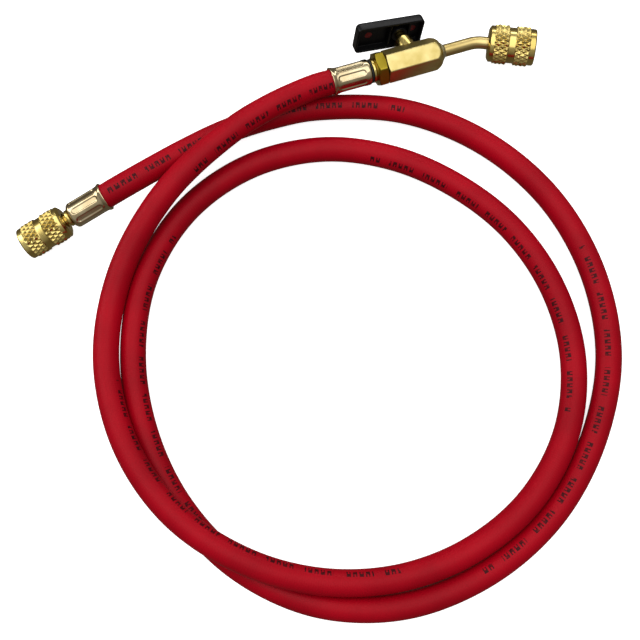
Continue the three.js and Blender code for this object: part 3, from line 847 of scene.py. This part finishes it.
def plated(tree):
    """Bright plating with a yellow cast and faint scratches along the sleeve."""
    place = add(tree, "TexCoord").outputs["Object"]
    uv = add(tree, "UVMap", uv_map="surface").outputs[0]
    cloud = add(tree, "TexNoise", {"Vector": place, "Scale": CLOUD_SCALE, "Detail": 4.0})
    shade = add(tree, "MapRange", {0: cloud.outputs[0], 1: 0.35, 2: 0.65})
    tones = {0: shade.outputs[0], 6: linear("#D2C39F"), 7: linear("#B9A680")}
    stretched = add(tree, "Mapping", {"Vector": uv, "Scale": (SCRATCHES_A_METRE, SCRATCHES_A_TURN, 1)})
    scratch = add(tree, "TexNoise", {"Vector": stretched.outputs[0], "Scale": 1.0, "Detail": 3.0})
    height = scratch.outputs[0]
    bump = add(tree, "Bump", {"Height": height, "Distance": SCRATCH_RELIEF, "Strength": 0.2})
    rough = add(tree, "MapRange", {0: height, 3: 0.08, 4: 0.18})
    return {
        "Base Color": add(tree, "Mix", tones, data_type="RGBA").outputs[2],
        "Metallic": 1.0,
        "Roughness": rough.outputs[0],
        "Normal": bump.outputs[0],
    }


plated_steel = finish("yellow_zinc_plated_steel", plated)
for axes, end, front in ((service, "service", SERVICE_FRONT), (valve, "valve", VALVE_FRONT)):
    add_piece(
        end + "_crimped_ferrule",
        [(ferrule_grid(axes, front), True)],
        plated_steel,
        "root",
        [end + "_ferrule"],
    )

# %% [markdown]
# Plain finishes
#
# Rubber seals, nylon, braze, paint and chrome have no direction in their surface, so one recipe
# does for all of them: a noise mixes two tones, and where it is wanted it also raises a bump and
# spreads the roughness. The noise's scale is the number of grains to a metre. The grain of
# rubber and nylon is drawn about ten times as coarse as it is, because finer doesn't show here.

# %% Grained finish
IOR_PLASTIC = 1.5


def grained(scale, detail, first, second, relief=None, rough=None, fixed=None):
    """A build function: noise of the given scale mixes two tones. The relief is the bump's height in
    millimetres and its strength, rough the two ends of the roughness, and fixed what is the same
    all over."""

    def build(tree):
        place = add(tree, "TexCoord").outputs["Object"]
        noise = {"Vector": place, "Scale": scale, "Detail": detail}
        grain = add(tree, "TexNoise", noise).outputs[0]
        tones = {0: grain, 6: linear(first), 7: linear(second)}
        inputs = {"Base Color": add(tree, "Mix", tones, data_type="RGBA").outputs[2], **(fixed or {})}
        if relief:
            height = {"Height": grain, "Distance": relief[0] * MM, "Strength": relief[1]}
            inputs["Normal"] = add(tree, "Bump", height).outputs[0]
        if rough:
            inputs["Roughness"] = add(tree, "MapRange", {0: grain, 3: rough[0], 4: rough[1]}).outputs[0]
        return inputs

    return build


# Matt black rubber, moulded: hardly a gloss, and a fine grain.
black_nitrile = finish(
    "moulded_black_nitrile",
    grained(2500.0, 2.0, "#0D0D0E", "#232324", (0.03, 0.5), (0.55, 0.8), {"IOR": IOR_RUBBER}),
)

# %% [markdown]
# Tails and seals
#
# Inside each nut a turned tail ends in a flange, with a rubber gasket on it, and the nut draws the
# flange against the fitting. They show only from the mouth, but that is the end that is used, so
# they are turned properly too: the flange's face is countersunk and the waterway is open. Most of
# the small parts are plain turned ones, so a helper rounds an outline, turns it and adds it.

# %% Tails, flanges and gaskets
PART_GAP = 0.3
ROUND_COLUMNS = 96
BARB_LENGTH = 14
TAIL_RADIUS = 3.2
WAIST_RADIUS = TAIL_RADIUS - 0.4
WATERWAY = 1.5
COLLAR_RADIUS = 4.3
SERVICE_FLANGE = 4.6
OUTLET_FLANGE = 5.3
FLANGE_START = NUT_REAR_WALL + PART_GAP
FLANGE_END = FLANGE_START + 2
COUNTERSINK = 0.4
GASKET_START = FLANGE_END + PART_GAP
GASKET_END = GASKET_START + 1.5
GASKET_HOLE = 2.2
GASKET_DISH = 0.25


def add_turned(name, axes, outline, cut, material, body, nodes=(), shape=None):
    """Adds a turned piece whose outline's corners are rounded by cut."""
    grid = turned(axes, rounded(outline, cut), ROUND_COLUMNS, shape)
    add_piece(name, [(grid, True)], material, body, nodes)


barb_start = FERRULE_LENGTH - BARB_LENGTH
nut_start = FERRULE_LENGTH + NECK_TO_NUT
service_tail_outline = [
    [barb_start, WATERWAY],
    [barb_start, TAIL_RADIUS],
    [FERRULE_LENGTH + 0.1, TAIL_RADIUS],
    [FERRULE_LENGTH + 0.1, COLLAR_RADIUS],
    [FERRULE_LENGTH + 1.5, COLLAR_RADIUS],
    [FERRULE_LENGTH + 1.6, WAIST_RADIUS],
    [nut_start + 0.6, WAIST_RADIUS],
    [nut_start + 1.2, TAIL_RADIUS],
    [nut_start + FLANGE_START, TAIL_RADIUS],
    [nut_start + FLANGE_START, SERVICE_FLANGE],
    [nut_start + FLANGE_END, SERVICE_FLANGE],
    [nut_start + FLANGE_END, 2.6],
    [nut_start + FLANGE_END - COUNTERSINK, WATERWAY],
]
tail = service_tail_outline
add_turned("service_tail_turned", service, tail, 0.2, turned_brass, "root", ["service_tail"])
gaskets = ((service_nut_axes, "service", SERVICE_FLANGE), (outlet_nut_axes, "outlet", OUTLET_FLANGE))
for axes, end, outer in gaskets:
    outline = [
        [GASKET_START, GASKET_HOLE],
        [GASKET_START, outer],
        [GASKET_END, outer],
        [GASKET_END - GASKET_DISH, GASKET_HOLE],
    ]
    name = end + "_gasket_ring"
    add_turned(name, axes, outline, 0.35, black_nitrile, "root", [end + "_gasket"])

# %% [markdown]
# Hexagons
#
# The valve's tail and body are turned from hexagon bar: the lathe faces the ends and takes the six
# corners off in a cone, which leaves the curved edge that every nut shows. On the same grid that
# is the smaller of two radii at each point: the bar's, which is half its width divided by the
# cosine of the turn from the nearest flat, and the lathe's outline. A smooth minimum breaks the
# edge between them as tumbling does.

# %% Hexagon helper
HEX_COLUMNS = 360
HEX_TURN = np.radians(30)
BODY_FLATS = 15


def soft_minimum(a, b, width):
    """(a + b - √((a - b)² + width²)) / 2: the smaller of the two, rounded where they meet."""
    return (a + b - np.sqrt((a - b) ** 2 + width**2)) / 2


def hexagon(flats, turn_by, edge):
    """A shape function: the outline, cut to a hexagonal bar with slightly worn corners."""

    def shape(x, turn, r):
        """Smaller of the outline and half the width over the cosine from the nearest flat."""
        from_flat = (turn - turn_by + np.pi / 6) % (np.pi / 3) - np.pi / 6
        bar = flats / 2 / np.cos(from_flat)
        bar = soft_minimum(bar, flats / np.sqrt(3) - edge, edge)
        return np.where(r < flats / 2 - 0.5, r + 0 * turn, soft_minimum(bar, r + 0 * turn, edge))

    return shape


print("the body's bar is", round(BODY_FLATS / np.sqrt(3) * 2, 2), "mm over its corners")

# %% [markdown]
# The valve's tail passes the ferrule and a thin black ring, widens to a round neck almost as wide
# as the ferrule, and carries a hexagon of its own, turned a little against the body's. The neck is
# polished bright, and the hexagon has a darker film, so they are two pieces.

# %% Valve tail pieces
RING_START = FERRULE_LENGTH + PART_GAP
RING_END = RING_START + 0.7
RING_RADIUS = 6.0
NECK_START = RING_START + 1
NECK_END = NECK_START + 3.0
NECK_RADIUS = 6.1
NECK_WAIST = 5.7
TAIL_FLATS = 16
TAIL_HEX_START = NECK_START + 2
TAIL_HEX_END = TAIL_HEX_START + 5
TAIL_HEX_TURN = np.radians(-16)
HEX_FACE = 7.7
HEX_CORNER = 9.2
HEX_BEVEL = 0.7
HEX_HOLE = 4
EDGE_STEP = 0.15

ring_outline = [
    [RING_START, SLEEVE_HOLE],
    [RING_START, RING_RADIUS],
    [RING_END, RING_RADIUS],
    [RING_END, SLEEVE_HOLE],
]
add_turned("tail_ring_seal", valve, ring_outline, 0.2, black_nitrile, "root", ["tail_ring"])
neck_outline = [
    [barb_start, WATERWAY],
    [barb_start, TAIL_RADIUS],
    [NECK_START, TAIL_RADIUS],
    [NECK_START, 5.9],
    [NECK_START + 0.2, NECK_RADIUS],
    [NECK_START + 1.2, NECK_RADIUS],
    [NECK_START + 1.7, NECK_WAIST],
    [NECK_END, NECK_WAIST],
    [NECK_END, WATERWAY],
]
add_turned("valve_tail_neck", valve, neck_outline, 0.3, turned_brass, "root")
hex_outline = [
    [TAIL_HEX_START, HEX_HOLE],
    [TAIL_HEX_START, HEX_FACE],
    [TAIL_HEX_START + HEX_BEVEL, HEX_CORNER],
    [TAIL_HEX_END - HEX_BEVEL, HEX_CORNER],
    [TAIL_HEX_END, HEX_FACE],
    [TAIL_HEX_END, HEX_HOLE],
]
hex_outline = refined(rounded(hex_outline, 0.2), EDGE_STEP, TAIL_HEX_START, TAIL_HEX_END)
tail_hexagon = hexagon(TAIL_FLATS, HEX_TURN + TAIL_HEX_TURN, 0.12)
add_piece(
    "valve_tail_hexagon",
    [(turned(valve, hex_outline, HEX_COLUMNS, tail_hexagon), True)],
    olive_brass,
    "root",
    ["valve_tail"],
)

# %% [markdown]
# The body is a longer piece of the same bar. Its inlet end is faced almost square, and its outlet
# end is turned to a dome around the socket of the tube. Inside, the waterway widens to a cavity,
# so that the ball clears its walls.

# %% Valve body piece
BODY_START = 28.8
BODY_END = 59.1
PORT_RADIUS = 2
CAVITY_RADIUS = 5.4
BODY_CORNER = 8.7
DOME_STEPS = ((-4.8, BODY_CORNER), (-3.2, 8.15), (-1.8, 7.4), (-0.6, 6.3), (0, 5.0))
BODY_BEVEL = 1.5
DOME_REACH = 5.2

body_outline = [
    [BODY_START, PORT_RADIUS],
    [BODY_START, 7.1],
    [BODY_START + 0.6, BODY_CORNER],
    *([BODY_END + step, radius] for step, radius in DOME_STEPS),
    [BODY_END, PORT_RADIUS],
    [BALL_CENTRE + CAVITY_RADIUS, PORT_RADIUS],
    [BALL_CENTRE + CAVITY_RADIUS, CAVITY_RADIUS],
    [BALL_CENTRE - CAVITY_RADIUS, CAVITY_RADIUS],
    [BALL_CENTRE - CAVITY_RADIUS, PORT_RADIUS],
]
body_outline = refined(rounded(body_outline, 0.5), EDGE_STEP, BODY_START, BODY_START + BODY_BEVEL)
body_outline = refined(body_outline, EDGE_STEP, BODY_END - DOME_REACH, BODY_END)
add_piece(
    "valve_body_hexagon",
    [(turned(valve, body_outline, HEX_COLUMNS, hexagon(BODY_FLATS, HEX_TURN, 0.14)), True)],
    bar_brass,
    "root",
    ["valve_body"],
)

# %% [markdown]
# Outlet tube
#
# A drawn brass tube, pushed into the body's socket, brazed there and bent away from the lever.
# Its middle line is a straight, an arc and a straight, all from one formula: the angle turned so
# far is the distance past the arc's start over its radius, between 0 and the whole bend.

# %% Outlet tube piece
TUBE_CORNER = 78.9
TUBE_RADIUS = 3.175
TUBE_BORE = 2.2
TUBE_BEND = np.radians(27)
BEND_RADIUS = 14
SOCKET_DEPTH = 5
TUBE_COLUMNS = 64
STRAIGHT_ROWS = 6
ARC_ROWS = 24


def bent_tube(axes, start, corner, end_past, radius):
    """Middle line x = start + s + R·sin a + e·cos b, y = -(R·(1 - cos a) + e·sin b), where s is the
    first straight, a the angle turned, e what lies past the arc and b the whole bend. The circle
    around it is r·(cos turn·normal + sin turn·Z)."""
    tangent = BEND_RADIUS * np.tan(TUBE_BEND / 2)
    first = corner - tangent - start
    arc = BEND_RADIUS * TUBE_BEND
    last = end_past - tangent
    steps = (np.linspace(0, first, STRAIGHT_ROWS)[:-1], first + np.linspace(0, arc, ARC_ROWS)[:-1])
    s = np.concatenate([*steps, first + arc + np.linspace(0, last, STRAIGHT_ROWS)])
    angle = np.clip((s - first) / BEND_RADIUS, 0, TUBE_BEND)
    past = np.maximum(s - first - arc, 0)
    x = start + np.minimum(s, first) + BEND_RADIUS * np.sin(angle) + past * np.cos(TUBE_BEND)
    y = -(BEND_RADIUS * (1 - np.cos(angle)) + past * np.sin(TUBE_BEND))
    line = np.stack([x, y, 0 * x], -1)[:, None]
    normal = np.stack([np.sin(angle), np.cos(angle), 0 * angle], -1)[:, None]
    turn = np.linspace(0, 2 * np.pi, TUBE_COLUMNS, endpoint=False)[None, :, None]
    return axes.place(line + radius * (np.cos(turn) * normal + np.sin(turn) * [0, 0, 1]))


tube_start, tube_end = BODY_END - SOCKET_DEPTH, BEND_TO_NUT + FLANGE_END
outside = bent_tube(valve, tube_start, TUBE_CORNER, tube_end, TUBE_RADIUS)
inside = bent_tube(valve, tube_start, TUBE_CORNER, tube_end, TUBE_BORE)
wall = np.concatenate([outside, inside[::-1]])
flange_outline = [
    [FLANGE_START, TUBE_RADIUS - 0.1],
    [FLANGE_START, OUTLET_FLANGE],
    [FLANGE_END, OUTLET_FLANGE],
    [FLANGE_END, 2.8],
    [FLANGE_END - COUNTERSINK, TUBE_BORE],
]
flange = turned(outlet_nut_axes, rounded(flange_outline, 0.15), ROUND_COLUMNS)
add_piece(
    "outlet_tube_bent",
    [(wall, True), (flange, True)],
    tube_brass,
    "root",
    ["outlet_tube"],
)

# %% [markdown]
# The braze is a silver alloy that was melted round the tube with a torch. It sets as a small
# hollow-sided fillet, pale against the brass and slightly lumpy, and its edge wanders a little.

# %% Braze piece
BRAZE_STEPS = ((0.1, TUBE_RADIUS), (0.1, 4.9), (0.6, 4.7), (1.1, 4.0), (1.7, 3.45), (2.2, TUBE_RADIUS))
BRAZE_WANDER = 0.08


def uneven(x, turn, r):
    """The fillet's edge wanders around the tube: r + wander·sin(3·turn + 1)."""
    return r + BRAZE_WANDER * np.sin(3 * turn + 1) * (r > TUBE_RADIUS + 0.1)


# Pale silver alloy, cast and slightly lumpy, with a dull shine.
silver_braze = finish(
    "silver_braze",
    grained(700.0, 3.0, "#D9D6BC", "#B9B28E", (0.1, 0.5), (0.25, 0.5), {"Metallic": 1.0}),
)
fillet = [[BODY_END + step, radius] for step, radius in BRAZE_STEPS]
add_turned("braze_fillet", valve, fillet, 0.4, silver_braze, "root", ["braze_ring"], uneven)

# %% [markdown]
# Stem and gland
#
# The stem comes out of the body through a round gland and carries the lever. Both are turned, on
# an axis across the valve. The stem and the ball belong to the lever's body, so they turn with it.

# %% Stem and gland pieces
BODY_HALF = BODY_FLATS / 2
GLAND_FOOT = BODY_HALF - 1
GLAND_TOP = BODY_HALF + 6
GLAND_RADIUS = 4.8
GLAND_BEVEL = 0.6
STEM_RADIUS = 2.5
STEM_FOOT = 5.3
LEVER_BASE = BODY_HALF + 10
STEM_TOP = LEVER_BASE + 3

stem_axes = Axes(ball_centre, stem_up, valve_along)
gland_outline = [
    [GLAND_FOOT, STEM_RADIUS + PART_GAP],
    [GLAND_FOOT, GLAND_RADIUS],
    [GLAND_TOP - GLAND_BEVEL, GLAND_RADIUS],
    [GLAND_TOP, GLAND_RADIUS - GLAND_BEVEL],
    [GLAND_TOP, STEM_RADIUS + PART_GAP],
]
gland = gland_outline
add_turned("stem_gland_turned", stem_axes, gland, 0.2, turned_brass, "root", ["stem_gland"])
stem_outline = [[STEM_FOOT, 0], [STEM_FOOT, STEM_RADIUS], [STEM_TOP, STEM_RADIUS], [STEM_TOP, 0]]
add_turned("lever_stem", stem_axes, stem_outline, 0.35, turned_brass, "lever_body", ["valve_stem"])

# %% [markdown]
# Lever
#
# The lever is moulded nylon: a rounded block, hollow from below, with two ribs and a hub for the
# stem, and a red spot in each end pocket. A rounded block is an outline drawn again and again with
# a growing inset, so its surface is a grid: each row has an inset and a height, and each column is
# a place on the outline. The rows run from the middle of the top, over the edge, down the side,
# round the rim and up into the pocket.

# %% Lever pieces
LEVER_LENGTH = 37
LEVER_WIDTH = 16.3
LEVER_THICKNESS = 5.3
LEVER_CORNER = 2.4
LEVER_WALL = 1.2
LEVER_TOP_WALL = 1.8
LEVER_OFFSET = -5.5
LEVER_TURN = np.radians(8)
RIB_SPACING = 10.6
RIB_THICKNESS = 1.2
RIB_CORNER = 0.2
RIB_INSET = 0.7
HUB_RADIUS = 4.2
HUB_INSET = 0.4
SINK = 0.5
CORNER_STEPS = 8


def block(rows, length, width, corner, middle, axes):
    """Rounded rectangle inset by d at height z: corner centres at ±(length/2 - d - q),
    ±(width/2 - d - q) plus q·(cos, sin), where q is the corner radius less d, at least 0."""
    inset, height = rows[:, :1], rows[:, 1:]
    quarter = np.linspace(0, np.pi / 2, CORNER_STEPS)
    angle = (np.arange(4)[:, None] * np.pi / 2 + quarter[None, :]).reshape(1, -1)
    sign_x = np.sign(np.cos(np.arange(4) * np.pi / 2 + np.pi / 4)).repeat(CORNER_STEPS)
    sign_y = np.sign(np.sin(np.arange(4) * np.pi / 2 + np.pi / 4)).repeat(CORNER_STEPS)
    q = np.maximum(corner - inset, 0)
    x = sign_x * np.maximum(length / 2 - inset - q, 0) + q * np.cos(angle) + middle
    y = sign_y * np.maximum(width / 2 - inset - q, 0) + q * np.sin(angle)
    return axes.place(np.stack([x, y, height + 0 * x], -1))


lever_along = np.cos(LEVER_TURN) * valve_along - np.sin(LEVER_TURN) * valve_up
lever_axes = Axes(ball_centre, lever_along, stem_up)
lever_top = LEVER_BASE + LEVER_THICKNESS
roof = lever_top - LEVER_TOP_WALL
half_width = LEVER_WIDTH / 2
shell_rows = [
    [half_width, lever_top],
    [1.0, lever_top],
    [0.25, lever_top - 0.45],
    [0, lever_top - 1.2],
    [0, LEVER_BASE],
    [LEVER_WALL, LEVER_BASE],
    [LEVER_WALL + 0.15, roof],
    [half_width, roof],
]
shell_rows = rounded(shell_rows, 0.35, closed=False)
shell = block(shell_rows, LEVER_LENGTH, LEVER_WIDTH, LEVER_CORNER, LEVER_OFFSET, lever_axes)
rib_half, rib_foot = RIB_THICKNESS / 2, LEVER_BASE + RIB_INSET
rib_rows = [[rib_half, roof + SINK], [0, roof + SINK], [0, rib_foot], [rib_half, rib_foot]]
rib_rows = rounded(rib_rows, 0.25, closed=False)
ribs = [
    block(rib_rows, RIB_THICKNESS, LEVER_WIDTH - 1, RIB_CORNER, side * RIB_SPACING / 2, lever_axes)
    for side in (-1, 1)
]
hub_outline = [
    [LEVER_BASE + HUB_INSET, STEM_RADIUS + 0.15],
    [LEVER_BASE + HUB_INSET, HUB_RADIUS],
    [roof + SINK, HUB_RADIUS],
    [roof + SINK, STEM_RADIUS + 0.15],
]
hub = turned(stem_axes, rounded(hub_outline, 0.3), ROUND_COLUMNS)

# Black glass-filled nylon, moulded: a soft gloss over a fine grain.
black_nylon = finish(
    "moulded_black_nylon",
    grained(
        1800.0,
        2.0,
        "#060607",
        "#101012",
        (0.03, 0.35),
        (0.22, 0.4),
        {"IOR": IOR_PLASTIC, "Specular IOR Level": 0.18},
    ),
)
add_piece(
    "lever_moulding",
    [(shell, False), *((rib, False) for rib in ribs), (hub, True)],
    black_nylon,
    "lever_body",
    ["valve_handle"],
)

# %% [markdown]
# Each end pocket of the lever has a dab of dark red paint on its roof. A dab is a shallow dome:
# its height falls with the square of the distance from its middle.

# %% Red spots
SPOT_RADIUS = 2.2
SPOT_HEIGHT = 0.45
SPOT_SINK = 0.1
SPOT_AT = (-10.8, 13.7)
SPOT_COLUMNS = 48

# Dark red enamel, brushed on thinly, so its shine is uneven.
red_enamel = finish(
    "dark_red_enamel",
    grained(1500.0, 2.0, "#6E0C12", "#3E070B", (0.05, 0.4), fixed={"Roughness": 0.35, "IOR": IOR_PLASTIC}),
)
r = np.linspace(0, SPOT_RADIUS, 8)
dab = np.stack([roof + SPOT_SINK - SPOT_HEIGHT * (1 - (r / SPOT_RADIUS) ** 2), r], -1)
dab = np.concatenate([dab, [[roof + SPOT_SINK, 0]]])
spots = []
for spot_at in SPOT_AT:
    centre = lever_axes.place([LEVER_OFFSET + spot_at, 0, 0])
    spots.append((turned(Axes(centre, stem_up, lever_along), dab, SPOT_COLUMNS), False))
add_piece("lever_red_spots", spots, red_enamel, "lever_body")

# %% [markdown]
# The ball
#
# The drilled ball is inside the body and never shows, but it still gets its own finish: hard
# chrome over brass, polished so that it seals. Its solid's shape is right, so it stays.

# %% Ball finish
polished_chrome = grained(400.0, 2.0, "#D8D9DB", "#C9CBCE", rough=(0.04, 0.12), fixed={"Metallic": 1.0})
ball = frame["nodes"]["valve_ball"]
ball.data.materials.clear()
ball.data.materials.append(finish("polished_hard_chrome", polished_chrome))
print("ball keeps its solid")

# %% [markdown]
# Floor
#
# The photograph is cut out on pure white, so the floor is a sheet of matt paper that glows a
# little, which leaves hardly a shadow. A cut-out shows no trace of the sheet on the object, so the
# floor is kept out of reflections and of bounced light.

# %% Floor
FLOOR_HALF = 1.6
FLOOR_DROP = 0.0001

white_paper = grained(
    60.0,
    3.0,
    "#FBFBFB",
    "#FFFFFF",
    fixed={
        "Roughness": 0.9,
        "Specular IOR Level": 0.1,
        "Emission Color": linear("#FFFFFF"),
        "Emission Strength": 0.75,
    },
)
corners = [
    [-FLOOR_HALF, -FLOOR_HALF, 0],
    [FLOOR_HALF, -FLOOR_HALF, 0],
    [FLOOR_HALF, FLOOR_HALF, 0],
    [-FLOOR_HALF, FLOOR_HALF, 0],
]
floor_mesh = bpy.data.meshes.new("floor")
floor_mesh.from_pydata(corners, [], [(0, 1, 2, 3)])
floor = bpy.data.objects.new("floor", floor_mesh)
floor.data.materials.append(finish("white_paper", white_paper))
floor.location.z = min(0.0, float(hose_points[..., 2].min())) - FLOOR_DROP
bpy.context.collection.objects.link(floor)
floor.visible_glossy = False
floor.visible_diffuse = False
print("floor", 2 * FLOOR_HALF, "m wide at", round(floor.location.z, 5))

# %% [markdown]
# Lights
#
# Metal shows what is around it. One big soft light from above gives the broad highlights, and two
# narrower ones give the bright streaks. The world around is a gradient from white overhead to a
# dull warm grey at the horizon, which gives the metal its darker edges. Each row of the table has
# a light's name, its place, the point it faces, its two sides in metres and its power in watts.

# %% Lights and world
LIGHTS = [
    ("overhead", (0.05, -0.05, 1.3), (0, -0.1, 0), (1.5, 1.5), 11),
    ("left_window", (-1.0, 0.3, 0.7), (0, -0.1, 0), (0.5, 1.0), 5),
    ("back_strip", (0.2, 0.9, 0.5), (0, 0, 0), (1.2, 0.2), 2.5),
]
HORIZON_GREY = "#8F887C"
WHITE_FROM_HEIGHT = 0.75
WORLD_STRENGTH = 0.5


def area_light(name, place, target, size, power):
    """A rectangular soft light at place, facing target."""
    data = bpy.data.lights.new(name, "AREA")
    data.shape = "RECTANGLE"
    data.size, data.size_y = size
    data.energy = power
    light = bpy.data.objects.new(name, data)
    light.location = place
    light.rotation_euler = (Vector(target) - Vector(place)).to_track_quat("-Z", "Y").to_euler()
    bpy.context.collection.objects.link(light)
    print("light", name, power, "W")


for light in LIGHTS:
    area_light(*light)

world = bpy.data.worlds.new("studio")
world.use_nodes = True
bpy.context.scene.world = world
tree = world.node_tree
tree.nodes.clear()
direction = add(tree, "TexCoord").outputs["Generated"]
height = add(tree, "SeparateXYZ", {0: direction}).outputs[2]
ramp = add(tree, "MapRange", {0: height, 1: 0.0, 2: WHITE_FROM_HEIGHT})
tones = {0: ramp.outputs[0], 6: linear(HORIZON_GREY), 7: linear("#FFFFFF")}
sky = add(tree, "Mix", tones, data_type="RGBA").outputs[2]
background = add(tree, "Background", {"Color": sky, "Strength": WORLD_STRENGTH})
add(tree, "OutputWorld", {"Surface": background.outputs[0]})
bpy.context.scene.view_settings.view_transform = "Standard"
print("world lit from", len(tree.nodes), "nodes")
